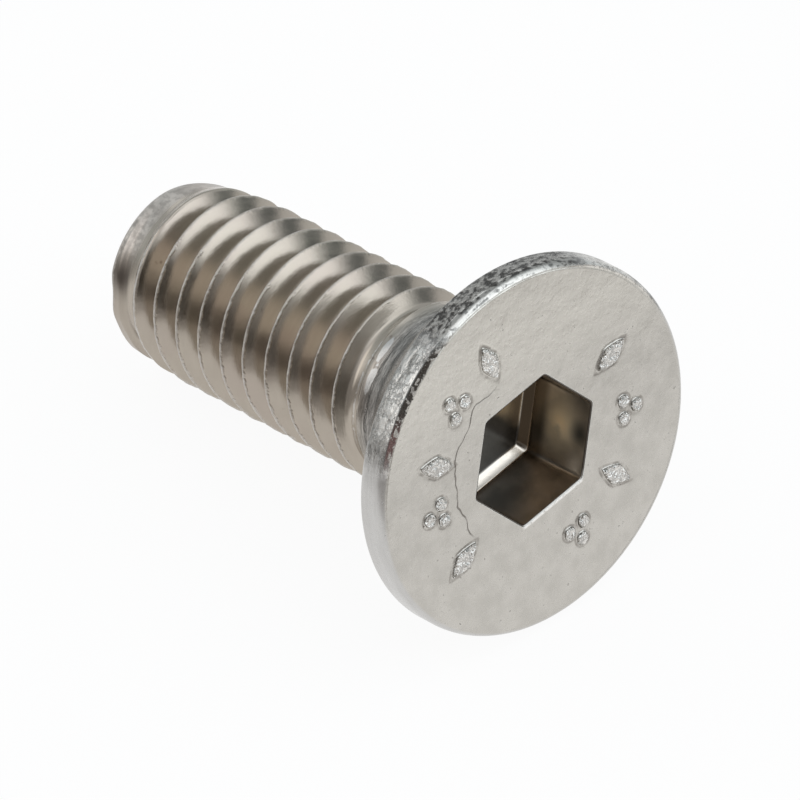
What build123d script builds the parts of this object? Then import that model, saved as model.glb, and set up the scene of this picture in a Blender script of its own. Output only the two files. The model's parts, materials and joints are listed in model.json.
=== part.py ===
"""Hexagon socket countersunk head screw, metric coarse thread, formed in one piece.

The screw is drawn on its own axis, which is +Z: the flat of the head is at
z = 0 and the threaded end points up. It is then laid on its side, the way it
comes to rest on a table: on the rim of its head and on the rim of its end.
All lengths are in millimetres and all angles in degrees.
"""
import os
from math import asin, atan, ceil, cos, degrees, hypot, radians, sin, tan

from build123d import *

# Head
HEAD_DIAMETER = 11.4
FACE_BEVEL_WIDTH = 0.19     # bevel between the face and the rim, across the face
FACE_BEVEL_HEIGHT = 0.29    # the same bevel, along the axis
RIM_HEIGHT = 0.89           # from the face to the edge where the cone starts
CONE_ANGLE = 90.0           # included angle of the countersunk seat
NECK_FILLET = 0.4           # between the cone and the neck

# Hexagon socket
SOCKET_WIDTH = 4.0          # across flats
SOCKET_DEPTH = 2.55
SOCKET_ANGLE = 19.0         # of one corner, turned from the underside
FLOOR_BEVEL_WIDTH = 0.3     # the sloped band round the socket's floor
FLOOR_BEVEL_SLOPE = 35.0
MOUTH_ROUNDING = 0.07

# Shank
SCREW_LENGTH = 15.8         # over all, from the face to the end
NECK_DIAMETER = 5.4         # plain stretch between the cone and the thread
NECK_LENGTH = 0.7
RISE_LENGTH = 1.3           # from the neck up to the full ridge diameter
POINT_LENGTH = 2.3          # stretch by the end in which the ridges get lower
POINT_DIAMETER = 5.6        # over the ridges where the end's rounding starts
END_ROUNDING = 0.4          # radius between the shank's side and its end

# Thread, right hand, one start
THREAD_DIAMETER = 5.87      # over the ridges
PITCH = 1.0
FLANK_ANGLE = 60.0          # included angle of the groove
RIDGE_FLAT_SHARE = 1 / 8    # of the pitch, the flat on top of a ridge
ROOT_FLAT_SHARE = 1 / 5     # of the pitch, the flat at the groove's bottom
RIDGE_PHASE = 0.15          # of the pitch, where a ridge crosses the underside
RUN_OUT_RISE = 0.35         # how far the groove rises in one turn where it runs out
END_GROOVE_LENGTH = 1.7     # from the last full groove to the screw's end

NODE = "socket_screw"

HEAD_RADIUS = HEAD_DIAMETER / 2
NECK_RADIUS = NECK_DIAMETER / 2
RIDGE_RADIUS = THREAD_DIAMETER / 2
POINT_RADIUS = POINT_DIAMETER / 2
HALF_CONE = radians(CONE_ANGLE / 2)
HALF_FLANK = radians(FLANK_ANGLE / 2)

# Places along the axis
CONE_FOOT = RIM_HEIGHT + (HEAD_RADIUS - NECK_RADIUS) / tan(HALF_CONE)
NECK_END = CONE_FOOT + NECK_LENGTH
THREAD_START = NECK_END + RISE_LENGTH
POINT_START = SCREW_LENGTH - POINT_LENGTH
ROUNDING_START = SCREW_LENGTH - END_ROUNDING

# Section of the groove
GROOVE_HALF_WIDTH = PITCH * (1 - RIDGE_FLAT_SHARE) / 2
ROOT_HALF_WIDTH = PITCH * ROOT_FLAT_SHARE / 2
GROOVE_DEPTH = (GROOVE_HALF_WIDTH - ROOT_HALF_WIDTH) / tan(HALF_FLANK)
ROOT_RADIUS = RIDGE_RADIUS - GROOVE_DEPTH
CUTTER_OVERHANG = 0.06 * PITCH


def blank():
    """Make the turned shape that the socket and the groove are cut from.

    Returns:
        The headed blank, whose shank has the diameter of the ridges.
    """
    fillet_reach = NECK_FILLET * tan(HALF_CONE / 2)
    fillet_foot = (NECK_RADIUS, CONE_FOOT + fillet_reach)
    fillet_top = (
        NECK_RADIUS + fillet_reach * sin(HALF_CONE),
        CONE_FOOT - fillet_reach * cos(HALF_CONE),
    )
    with BuildSketch(Plane.XZ) as half_section:
        with BuildLine():
            Polyline(
                (0, 0),
                (HEAD_RADIUS - FACE_BEVEL_WIDTH, 0),
                (HEAD_RADIUS, FACE_BEVEL_HEIGHT),
                (HEAD_RADIUS, RIM_HEIGHT),
                fillet_top,
            )
            TangentArc(fillet_top, fillet_foot, tangent=(-sin(HALF_CONE), cos(HALF_CONE)))
            Polyline(
                fillet_foot,
                (NECK_RADIUS, NECK_END),
                (RIDGE_RADIUS, THREAD_START),
                (RIDGE_RADIUS, POINT_START),
                (POINT_RADIUS, ROUNDING_START),
            )
            TangentArc(
                (POINT_RADIUS, ROUNDING_START),
                (POINT_RADIUS - END_ROUNDING, SCREW_LENGTH),
                tangent=(0, 1),
            )
            Polyline((POINT_RADIUS - END_ROUNDING, SCREW_LENGTH), (0, SCREW_LENGTH), (0, 0))
        make_face()
    return revolve(half_section.sketch, Axis.Z)


def hexagon(height, inset=0.0):
    """Draw the socket's hexagon across the axis.

    Args:
        height: Distance from the face of the head.
        inset: How far each side is moved in from the socket's wall.

    Returns:
        The hexagon as a sketch.
    """
    outline = RegularPolygon(
        SOCKET_WIDTH / 2 - inset, side_count=6, major_radius=False, rotation=SOCKET_ANGLE
    )
    return Pos(0, 0, height) * outline


def socket():
    """Make the space of the hexagon socket, with the sloped band round its floor."""
    bevel_height = FLOOR_BEVEL_WIDTH * tan(radians(FLOOR_BEVEL_SLOPE))
    wall_height = SOCKET_DEPTH - bevel_height
    walls = extrude(hexagon(0), wall_height)
    floor = loft([hexagon(wall_height), hexagon(SOCKET_DEPTH, FLOOR_BEVEL_WIDTH)], ruled=True)
    return walls + floor


def groove_section(height, rise=0.0):
    """Draw the groove's section in the plane through the axis and +X.

    Args:
        height: Place of the groove's middle along the axis.
        rise: How far the section is lifted away from the axis.

    Returns:
        A face with two straight flanks and a flat root, closed outside the ridges.
    """
    root = ROOT_RADIUS + rise
    mouth = RIDGE_RADIUS + CUTTER_OVERHANG + rise
    mouth_half_width = GROOVE_HALF_WIDTH + CUTTER_OVERHANG * tan(HALF_FLANK)
    corners = [
        (mouth, 0, height - mouth_half_width),
        (root, 0, height - ROOT_HALF_WIDTH),
        (root, 0, height + ROOT_HALF_WIDTH),
        (mouth, 0, height + mouth_half_width),
    ]
    return Face(Wire.make_polygon(corners))


def groove_piece(start, turns, rise_at_start, rise_at_end):
    """Carry the groove's section along a helix, which may widen or narrow evenly.

    Args:
        start: Place of the groove's middle along the axis where the piece begins.
        turns: Number of turns, from the head towards the end.
        rise_at_start: How far the section is lifted where the piece begins.
        rise_at_end: The same where it ends.

    Returns:
        The space that the groove takes out of the blank.
    """
    height = turns * PITCH
    slope = atan((rise_at_end - rise_at_start) / height)
    path = Edge.make_helix(
        PITCH / cos(slope),
        height,
        ROOT_RADIUS + rise_at_start,
        center=(0, 0, start),
        angle=degrees(slope),
    )
    piece = Solid.sweep(groove_section(start, rise_at_start), path, is_frenet=True)
    turned = (start / PITCH - RIDGE_PHASE - 0.5) * 360
    return Rot(0, 0, turned) * piece


def groove_stretch(start, turns, rise_at_start, rise_at_end):
    """Divide a stretch of the groove into equal pieces of a turn at most.

    Args:
        start: Place of the groove's middle along the axis where the stretch begins.
        turns: Number of turns in the stretch.
        rise_at_start: How far the section is lifted where the stretch begins.
        rise_at_end: The same where it ends.

    Returns:
        The pieces in order, each beginning where the one before it ends.
    """
    count = ceil(turns)
    rise_step = (rise_at_end - rise_at_start) / count
    return [
        groove_piece(
            start + index * turns / count * PITCH,
            turns / count,
            rise_at_start + index * rise_step,
            rise_at_start + (index + 1) * rise_step,
        )
        for index in range(count)
    ]


def groove():
    """Make the whole groove: rising out by the neck, full depth, and out by the end."""
    out_rise = GROOVE_DEPTH + CUTTER_OVERHANG
    out_turns = out_rise / RUN_OUT_RISE
    full_end = SCREW_LENGTH - END_GROOVE_LENGTH
    full_turns = (full_end - THREAD_START) / PITCH
    by_neck = groove_stretch(THREAD_START - out_turns * PITCH, out_turns, out_rise, 0)
    full = groove_stretch(THREAD_START, full_turns, 0, 0)
    by_end = groove_stretch(full_end, out_turns, 0, out_rise)
    return by_neck + full + by_end


def rest_slope():
    """Work out how far the axis dips when the screw lies on its side.

    It lies on the lower edge of the rim and on whatever is reached first by a
    line that swings in from there: the last full ridge, or the rounding of the
    end, which the line touches as a tangent to its circle.

    Returns:
        The angle between the axis and the table, in radians.
    """
    to_ridge = atan((HEAD_RADIUS - RIDGE_RADIUS) / (POINT_START - RIM_HEIGHT))
    drop = HEAD_RADIUS - (POINT_RADIUS - END_ROUNDING)
    run = ROUNDING_START - RIM_HEIGHT
    to_rounding = atan(drop / run) - asin(END_ROUNDING / hypot(drop, run))
    return min(to_ridge, to_rounding)


def laid_down(screw):
    """Lay the screw on the table, with the middle of its footprint at the origin.

    Args:
        screw: The screw on its own axis.

    Returns:
        The screw on its side, its face towards +X and its lowest points at z = 0.
    """
    dip = rest_slope()
    own_frame = Plane((0, 0, 0), x_dir=(sin(dip), 0, -cos(dip)), z_dir=(-cos(dip), 0, -sin(dip)))
    tilted = own_frame.location * screw
    box = tilted.bounding_box()
    middle = box.center()
    return Pos(-middle.X, -middle.Y, -box.min.Z) * tilted


def socket_screw():
    """Make the whole screw, lying as it comes to rest."""
    screw = blank() - socket()
    mouth = [edge for edge in screw.edges().group_by(Axis.Z)[0] if edge.geom_type == GeomType.LINE]
    screw = fillet(mouth, MOUTH_ROUNDING)
    for piece in groove():
        screw -= piece
    return laid_down(screw)


os.makedirs("parts", exist_ok=True)
export_step(socket_screw(), f"parts/{NODE}.step")
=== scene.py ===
"""Looks of a countersunk socket screw that lies on a pale floor: its skin, its finishes and its studio.

The screw is worked out in its own frame, in millimetres: the origin is the middle of the head's face,
+Z runs along the axis towards the threaded end, and angles turn right-handed about +Z from the side
that lies on the floor. OwnFrame carries the finished skin into the model's frame, in metres.
"""
import json
import logging
from dataclasses import dataclass
from enum import IntEnum
from math import cos, pi, radians, sin, sqrt, tan

import bpy
import numpy as np
from mathutils import Matrix, Vector


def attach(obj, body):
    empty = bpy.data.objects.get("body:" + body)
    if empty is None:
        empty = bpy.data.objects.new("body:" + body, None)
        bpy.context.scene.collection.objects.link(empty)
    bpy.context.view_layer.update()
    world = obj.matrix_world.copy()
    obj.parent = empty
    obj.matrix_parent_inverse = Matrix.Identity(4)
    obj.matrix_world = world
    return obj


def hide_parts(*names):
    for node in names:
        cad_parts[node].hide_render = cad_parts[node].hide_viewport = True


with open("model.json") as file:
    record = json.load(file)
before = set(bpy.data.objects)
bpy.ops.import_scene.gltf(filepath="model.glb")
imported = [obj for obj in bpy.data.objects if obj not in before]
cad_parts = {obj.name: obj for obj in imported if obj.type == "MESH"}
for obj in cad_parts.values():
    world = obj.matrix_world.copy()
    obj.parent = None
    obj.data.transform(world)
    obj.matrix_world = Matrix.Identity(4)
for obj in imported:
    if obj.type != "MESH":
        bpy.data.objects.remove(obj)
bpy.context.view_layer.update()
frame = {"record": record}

logging.basicConfig(level=logging.INFO, format="%(name)s: %(message)s")
LOG = logging.getLogger("screw")

Array = np.ndarray
Socket = bpy.types.NodeSocket
Triple = tuple[float, float, float]     # a colour, or a place or direction
Pair = tuple[Triple, Triple]            # the two colours of a pattern
Span = tuple[float, float]              # where something starts and where it is full

METRE = 0.001               # one millimetre in metres
COLUMNS = 144               # columns round the shank; the head's rings have a multiple of it
FIRST_COLUMN = radians(19)  # angle of column 0, which is also that of a corner of the socket


class Region(IntEnum):
    """Parts of the skin that have finishes of their own."""

    SOCKET = 0
    HEAD = 1
    SHANK = 2


class Wire:
    """A number that changes over a surface: an output of a node, with arithmetic on it."""

    def __init__(self, recipe: "Recipe", socket: Socket) -> None:
        """Wrap an output socket of one of the recipe's nodes."""
        self.recipe = recipe
        self.socket = socket

    def _maths(self, operation: str, *values: "Wire | float") -> "Wire":
        """Add a Math node on these values."""
        node = self.recipe.node("ShaderNodeMath", {"operation": operation}, dict(enumerate(values)))
        return self.recipe.number(node)

    def __add__(self, other: "Wire | float") -> "Wire":
        """Add."""
        return self._maths("ADD", self, other)

    __radd__ = __add__

    def __sub__(self, other: "Wire | float") -> "Wire":
        """Subtract."""
        return self._maths("SUBTRACT", self, other)

    def __rsub__(self, other: float) -> "Wire":
        """Subtract from a number."""
        return self._maths("SUBTRACT", other, self)

    def __mul__(self, other: "Wire | float") -> "Wire":
        """Multiply."""
        return self._maths("MULTIPLY", self, other)

    __rmul__ = __mul__

    def __truediv__(self, other: "Wire | float") -> "Wire":
        """Divide."""
        return self._maths("DIVIDE", self, other)

    def __abs__(self) -> "Wire":
        """Drop the sign."""
        return self._maths("ABSOLUTE", self)

    def larger(self, other: "Wire | float") -> "Wire":
        """Take the larger of the two."""
        return self._maths("MAXIMUM", self, other)

    def smaller(self, other: "Wire | float") -> "Wire":
        """Take the smaller of the two."""
        return self._maths("MINIMUM", self, other)

    def root(self) -> "Wire":
        """Take the square root."""
        return self._maths("SQRT", self)

    def rest(self) -> "Wire":
        """Give how far the number is past the whole number below it."""
        return self._maths("FRACT", self)

    def angle_from(self, across: "Wire") -> "Wire":
        """Give the angle of the point that is this far up and the other far across."""
        return self._maths("ARCTAN2", self, across)

    def step(self, low: float, high: float) -> "Wire":
        """Rise smoothly from 0 at low to 1 at high; with low above high it falls.

        Args:
            low: Where the rise starts.
            high: Where it ends.

        Returns:
            The height of the rise.
        """
        settings = {"interpolation_type": "SMOOTHSTEP"}
        inputs = {"Value": self, "From Min": low, "From Max": high}
        return self.recipe.number(self.recipe.node("ShaderNodeMapRange", settings, inputs))


class Recipe:
    """The nodes of one material or world."""

    def __init__(self, tree: bpy.types.NodeTree) -> None:
        """Start with the tree's nodes cleared."""
        self.tree = tree
        tree.nodes.clear()

    def node(
        self,
        kind: str,
        settings: dict[str, object] | None = None,
        inputs: dict[str | int, object] | None = None,
    ) -> bpy.types.Node:
        """Add a node.

        Args:
            kind: The node's type.
            settings: Its properties, which are set first.
            inputs: A number, colour, wire or socket for each input that isn't
                left as it is, by its name or number.

        Returns:
            The node.
        """
        node = self.tree.nodes.new(kind)
        for name, value in (settings or {}).items():
            setattr(node, name, value)
        for key, value in (inputs or {}).items():
            if isinstance(value, Wire):
                self.tree.links.new(value.socket, node.inputs[key])
            elif isinstance(value, Socket):
                self.tree.links.new(value, node.inputs[key])
            else:
                node.inputs[key].default_value = value
        return node

    def number(self, node: bpy.types.Node, output: str | int = 0) -> Wire:
        """Take a number from a node's output."""
        return Wire(self, node.outputs[output])

    def blend(self, share: Wire, first: object, second: object) -> Socket:
        """Mix two colours, the second by its share."""
        inputs = {0: share, 6: colour_of(first), 7: colour_of(second)}
        return self.node("ShaderNodeMix", {"data_type": "RGBA"}, inputs).outputs[2]

    def coats(self, colour: object, *layers: tuple[Wire, object]) -> Socket:
        """Lay colours over one another.

        Args:
            colour: The colour below them all.
            layers: Each coat's share and colour.

        Returns:
            The mixed colour.
        """
        for share, coat in layers:
            colour = self.blend(share, colour, coat)
        return colour

    def _vector_maths(self, operation: str, vector: Socket, other: Triple = (0, 0, 0)) -> bpy.types.Node:
        """Add a Vector Math node on a vector and a fixed one."""
        return self.node("ShaderNodeVectorMath", {"operation": operation}, {0: vector, 1: other})

    def along(self, vector: Socket, direction: Triple) -> Wire:
        """Measure a vector along a direction."""
        return self.number(self._vector_maths("DOT_PRODUCT", vector, direction), "Value")

    def length(self, vector: Socket) -> Wire:
        """Measure a vector's length."""
        return self.number(self._vector_maths("LENGTH", vector), "Value")

    def split(self, vector: Socket) -> tuple[Wire, Wire, Wire]:
        """Take a vector apart."""
        parts = self.node("ShaderNodeSeparateXYZ", {}, {0: vector})
        return self.number(parts, 0), self.number(parts, 1), self.number(parts, 2)

    def vector(self, x: Wire, y: Wire | float, z: Wire | float) -> Socket:
        """Put a vector together."""
        return self.node("ShaderNodeCombineXYZ", {}, {0: x, 1: y, 2: z}).outputs[0]

    def near(self, place: Socket, centre: Triple, reach: float) -> Wire:
        """Fall smoothly from 1 at a centre to 0 at this distance from it."""
        return self.number(self._vector_maths("DISTANCE", place, centre), "Value").step(reach, 0)

    def stretch(self, vector: Socket, factors: Triple) -> Socket:
        """Stretch a vector by a factor along each axis."""
        return self._vector_maths("MULTIPLY", vector, factors).outputs[0]

    def relief(self, *layers: tuple[Wire, float]) -> Socket:
        """Lay bumps over one another.

        Args:
            layers: The height of each bump, and how many metres a height of 1 is.

        Returns:
            The bumped normal.
        """
        normal = None
        for height, metres in layers:
            inputs = {"Height": height, "Distance": metres, "Strength": 1.0}
            if normal is not None:
                inputs["Normal"] = normal
            normal = self.node("ShaderNodeBump", {}, inputs).outputs[0]
        return normal

    def noise(self, place: Socket, scale: float, detail: float = 2, rough: float = 0.5) -> Wire:
        """Give a soft random number, from 0 to 1, that changes over this many cells a unit."""
        inputs = {"Vector": place, "Scale": scale, "Detail": detail, "Roughness": rough}
        return self.number(self.node("ShaderNodeTexNoise", {}, inputs), "Fac")


def colour_of(value: object) -> object:
    """Give a colour with its fourth number, or the socket as it is.

    Args:
        value: A colour of three or four numbers, or a socket.

    Returns:
        What a colour input takes.
    """
    if isinstance(value, (tuple, list)) and len(value) == 3:
        return (*value, 1.0)
    return value


@dataclass(frozen=True)
class OwnFrame:
    """The screw's own frame, read from the mount at the mouth of its socket."""

    origin: Array
    axes: Array

    @classmethod
    def from_record(cls, record: dict) -> "OwnFrame":
        """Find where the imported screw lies.

        Args:
            record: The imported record, with its mounts.

        Returns:
            The frame whose Z runs from the face towards the threaded end.
        """
        mount = next(item for item in record["mounts"] if item["name"] == "hex_socket")
        z_axis = -np.array(mount["axis"]) / np.linalg.norm(mount["axis"])
        y_axis = np.array([0.0, -1.0, 0.0])
        x_axis = np.cross(y_axis, z_axis)
        return cls(np.array(mount["pos_m"]), np.stack([x_axis, y_axis, z_axis]))

    def carry(self, points: Array) -> Array:
        """Carry points in millimetres into the model's frame, in metres."""
        return self.origin + points @ self.axes * METRE


def column_angles(count: int) -> Array:
    """Give the angles of evenly spaced columns, the first at a corner of the socket."""
    return FIRST_COLUMN + 2 * pi * np.arange(count) / count


def soft_max(first: Array, second: Array, width: float) -> Array:
    """Take the larger, its kink rounded: half the sum plus half the root of squared gap and squared width."""
    return 0.5 * (first + second + np.sqrt((first - second) ** 2 + width * width))


def soft_min(first: Array, second: Array, width: float) -> Array:
    """Take the smaller, with the kink rounded in the same way."""
    return -soft_max(-first, -second, width)


def smooth_step(low: float, high: float, value: Array) -> Array:
    """Rise from 0 at low to 1 at high along a cubic with level ends."""
    share = np.clip((value - low) / (high - low), 0, 1)
    return share * share * (3 - 2 * share)


@dataclass(frozen=True)
class Ripple:
    """A smooth random height over the surface: a sum of plane waves with seeded directions and phases."""

    seed: int
    wavelength: float
    waves: int = 24

    def height(self, points: Array) -> Array:
        """Work out the ripple, which has a spread of about one.

        Each wave is the sine of the point along the wave's direction over its
        length, plus its phase. The lengths differ by up to two times.

        Args:
            points: Places in millimetres, as an array that ends in x, y, z.

        Returns:
            One height for each point.
        """
        random = np.random.default_rng(self.seed)
        directions = random.normal(size=(self.waves, 3))
        directions /= np.linalg.norm(directions, axis=1, keepdims=True)
        lengths = self.wavelength * random.uniform(0.7, 1.4, self.waves)
        phases = random.uniform(0, 2 * pi, self.waves)
        angles = points @ (directions / lengths[:, None] * 2 * pi).T + phases
        return np.sin(angles).sum(axis=-1) * sqrt(2 / self.waves)


class Skin:
    """A closed skin that is put together from rings and grids of points."""

    def __init__(self) -> None:
        """Start with no points and no faces."""
        self.points: list[Array] = []
        self.faces: list[Array] = []
        self.regions: list[Array] = []
        self.count = 0

    def add(self, points: Array) -> Array:
        """Add points and give their numbers.

        Args:
            points: An array that ends in x, y, z.

        Returns:
            The points' numbers, in the array's shape without its last axis.
        """
        shape = points.shape[:-1]
        numbers = self.count + np.arange(int(np.prod(shape))).reshape(shape)
        self.points.append(points.reshape(-1, 3))
        self.count += numbers.size
        return numbers

    def _join(self, region: Region, *rows: Array) -> None:
        """Keep faces, given as equal arrays of their first, second and further corners.

        A face of four corners is cut in two, and what has two corners at one
        point is left out.

        Args:
            region: Finish of the faces.
            rows: Numbers of the corners, in three or four arrays of one shape.
        """
        corners = np.stack(rows, axis=-1).reshape(-1, len(rows))
        if len(rows) == 4:
            corners = np.concatenate([corners[:, [0, 1, 2]], corners[:, [0, 2, 3]]])
        distinct = (
            (corners[:, 0] != corners[:, 1])
            & (corners[:, 1] != corners[:, 2])
            & (corners[:, 2] != corners[:, 0])
        )
        self.faces.append(corners[distinct])
        self.regions.append(np.full(int(distinct.sum()), int(region)))

    def rings(self, grid: Array, region: Region) -> None:
        """Join the rows of a grid of numbers, each of which closes on itself."""
        after = np.roll(grid, -1, axis=1)
        self._join(region, grid[:-1], after[:-1], after[1:], grid[1:])

    def sheet(self, grid: Array, region: Region) -> None:
        """Join a grid of numbers whose rows are open."""
        self._join(region, grid[:-1, :-1], grid[:-1, 1:], grid[1:, 1:], grid[1:, :-1])

    def graft(self, coarse: Array, fine: Array, region: Region, coarse_last: bool = False) -> None:
        """Join a closed row to one with twice as many points.

        Each point of the coarse row has one facing it and one just after it.

        Args:
            coarse: Numbers of the coarse row.
            fine: Numbers of the fine row.
            region: Finish of the faces.
            coarse_last: Whether the coarse row comes later along the profile.
        """
        facing = fine[0::2]
        between = fine[1::2]
        coarse_after = np.roll(coarse, -1)
        facing_after = np.roll(facing, -1)
        for corners in (
            (coarse, between, facing),
            (coarse, coarse_after, between),
            (coarse_after, facing_after, between),
        ):
            self._join(region, *(corners[::-1] if coarse_last else corners))

    def close(self, height: float, ring: Array, region: Region, at_start: bool = False) -> None:
        """Close the first or last ring with a fan of faces round a middle point.

        Args:
            height: Place of the middle point along the axis.
            ring: Numbers of the ring.
            region: Finish of the faces.
            at_start: Whether it is the first ring.
        """
        centre = np.full(ring.shape, self.add(np.array([[0, 0, height]]))[0])
        corners = (centre, np.roll(ring, -1), ring)
        self._join(region, *(corners if at_start else corners[::-1]))

    def mesh(self, name: str, place: OwnFrame) -> bpy.types.Mesh:
        """Make the mesh, smooth shaded, in the model's frame.

        Args:
            name: Name of the mesh.
            place: The frame that the points are given in.

        Returns:
            The mesh, whose faces have their region as material index.
        """
        points = place.carry(np.concatenate(self.points))
        faces = np.concatenate(self.faces)
        mesh = bpy.data.meshes.new(name)
        mesh.vertices.add(len(points))
        mesh.vertices.foreach_set("co", points.astype(np.float32).ravel())
        mesh.loops.add(faces.size)
        mesh.loops.foreach_set("vertex_index", faces.astype(np.int32).ravel())
        mesh.polygons.add(len(faces))
        mesh.polygons.foreach_set("loop_start", np.arange(0, faces.size, 3, dtype=np.int32))
        mesh.polygons.foreach_set("material_index", np.concatenate(self.regions).astype(np.int32))
        mesh.polygons.foreach_set("use_smooth", np.ones(len(faces), dtype=bool))
        mesh.update(calc_edges=True)
        mesh.validate()
        return mesh


def turned(radius: Array, angle: Array, height: Array) -> Array:
    """Turn cylindrical coordinates into points, as an array that ends in x, y, z."""
    radius, angle, height = np.broadcast_arrays(radius, angle, height)
    return np.stack([radius * np.cos(angle), radius * np.sin(angle), height], axis=-1)


@dataclass(frozen=True)
class Dent:
    """A shallow soft dent at the threaded end, where the thread's run-out leaves it out of round."""

    angle: float        # of its middle, in degrees
    reach: float        # to each side, in degrees
    depth: float
    start: float = 14.4
    full: float = 15.5

    def drop(self, angle: Array, height: Array) -> Array:
        """Give how far the skin drops; the dent deepens along the axis up to the end."""
        away = np.abs((np.degrees(angle) - self.angle + 180) % 360 - 180)
        return self.depth * smooth_step(self.reach, 0, away) * smooth_step(self.start, self.full, height)


@dataclass
class Thread:
    """The rolled thread and the plain stretches beside it."""

    pitch: float = 1.0
    ridge_radius: float = 2.935
    neck_radius: float = 2.7
    neck_end: float = 4.27
    rise_end: float = 5.42
    point_start: float = 13.5
    point_radius: float = 2.76
    length: float = 15.77
    end_rounding: float = 0.2
    dents: tuple[Dent, ...] = (Dent(100, 17, 0.11), Dent(76, 24, 0.06), Dent(210, 42, 0.11))

    ridge_phase: float = 0.15           # place of the ridge at angle 0, in turns
    crest_half_width: float = 0.018
    half_flank: float = radians(30)
    root_radius: float = 0.1
    crest_rounding: float = 0.015
    fill_rounding: float = 0.06         # where the run-out fills the groove
    first_full_groove: float = 5.9
    start_rise: float = 0.33            # of the groove's root along the axis, before the first full one
    last_full_groove: float = 14.1
    end_rise: float = 0.5

    bulge_height: float = 0.035
    bulge_reach: float = 0.24
    bulge_lead: float = 0.22            # from the neck's end to the bulge's middle
    ridges_start: float = 5.1           # the neck's lumps fade into the ridges' burr from here
    ridges_full: float = 5.4
    burr_fade: float = 14.3             # the burr fades from here
    burr_end: float = 14.9
    neck_lumps: Ripple = Ripple(6, 0.9)
    lump_height: float = 0.004
    crest_burr: Ripple = Ripple(5, 0.3)
    burr_height: float = 0.006
    allowance: float = 0.008            # keeps the uneven skin within the solid

    first_ridge: int = 4                # whole turns up to the first level ring
    turns: int = 9
    rows: int = 20                      # of points across one turn
    crowding: float = 0.55              # how much closer the rows lie at the ridge

    def blank(self, height: Array) -> Array:
        """Give the radius without the groove.

        It is that of the neck, rises in a straight line to the ridges, and gets
        smaller in a straight line towards the rounded end.

        Args:
            height: Places along the axis.

        Returns:
            The radius at each place, up to where the end's rounding starts.
        """
        stops = [self.neck_end, self.rise_end, self.point_start, self.length - self.end_rounding]
        radii = [self.neck_radius, self.ridge_radius, self.ridge_radius, self.point_radius]
        return np.interp(height, stops, radii)

    def radius(self, angle: Array, height: Array) -> Array:
        """Give the radius of the skin, groove included.

        The groove's section has straight flanks that run into a round root.
        On a flank the drop below the ridges is the distance from the crest's
        edge over the tangent of half the flank angle. In the root it is the
        middle of the root's circle plus the root of its squared radius less
        the squared distance from the groove's middle. Where the thread runs
        out, the groove is filled up from its root, so that its ridges stay
        sharp. The last low ridge, next to the neck, is a soft bulge.

        Args:
            angle: Angles about the axis.
            height: Places along the axis.

        Returns:
            The radius at each place.
        """
        turns = height / self.pitch - self.ridge_phase - angle / (2 * pi)
        from_ridge = ((turns + 0.5) % 1 - 0.5) * self.pitch
        from_groove = self.pitch / 2 - np.abs(from_ridge)
        groove_middle = height + np.sign(from_ridge) * from_groove
        before = np.clip(self.first_full_groove - groove_middle, 0, None) * self.start_rise
        after = np.clip(groove_middle - self.last_full_groove, 0, None) * self.end_rise
        flank = (np.abs(from_ridge) - self.crest_half_width) / tan(self.half_flank)
        root_middle = (self.pitch / 2 - self.crest_half_width) / tan(self.half_flank)
        root_middle -= self.root_radius / sin(self.half_flank)
        inside = np.clip(self.root_radius**2 - from_groove**2, 0, None)
        in_root = from_groove < self.root_radius * cos(self.half_flank)
        drop = np.where(in_root, root_middle + np.sqrt(inside), flank)
        depth = root_middle + self.root_radius - before - after
        groove = self.ridge_radius - soft_min(drop, depth, self.fill_rounding)
        bulge = smooth_step(self.bulge_reach, 0, np.abs(height - self.neck_end - self.bulge_lead))
        blank = self.blank(height) + self.bulge_height * bulge + self.unevenness(angle, height)
        return soft_min(blank, groove, self.crest_rounding)

    def unevenness(self, angle: Array, height: Array) -> Array:
        """Give what the lumps of the neck, the burr of the ridges and the end's dents add to the radius.

        Args:
            angle: Angles about the axis.
            height: Places along the axis.

        Returns:
            The change of the radius at each place.
        """
        place = turned(self.ridge_radius, angle, height)
        threaded = smooth_step(self.ridges_start, self.ridges_full, height)
        lumps = self.lump_height * self.neck_lumps.height(place) * (1 - threaded)
        burr = self.burr_height * self.crest_burr.height(place) * threaded
        burr = burr * smooth_step(self.burr_end, self.burr_fade, height)
        return lumps + burr - self.allowance - sum(dent.drop(angle, height) for dent in self.dents)

    def start_height(self) -> float:
        """Give the place of the first level ring, where a groove's middle crosses column 0."""
        return self.pitch * (self.first_ridge + self.ridge_phase + 0.5 + FIRST_COLUMN / (2 * pi))

    def row_shares(self) -> Array:
        """Give each row's share of the pitch, from one groove's middle to the next, closer at the ridge."""
        even = np.linspace(-1, 1, self.rows + 1)
        return 0.5 + 0.5 * ((1 - self.crowding) * even + self.crowding * even**3)

    def build(self, skin: Skin, neck_ring: Array) -> Array:
        """Lay rows of points along the thread, so that each row keeps its place on the ridge.

        The columns go on from turn to turn, and the last row of a turn is the
        first row of the next. Before the first turn and after the last one is
        a wedge, whose rows lie together at one point of a level ring and
        spread out over one turn to the rows of the helix.

        Args:
            skin: The skin to add to.
            neck_ring: Numbers of the level ring that the thread starts from.

        Returns:
            Numbers of the level ring that it ends with.
        """
        share = self.row_shares()[:, None]
        lap = np.arange(COLUMNS + 1)[None, :] / COLUMNS
        long_lap = np.arange(self.turns * COLUMNS + 1)[None, :] / COLUMNS
        start = self.start_height()

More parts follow.
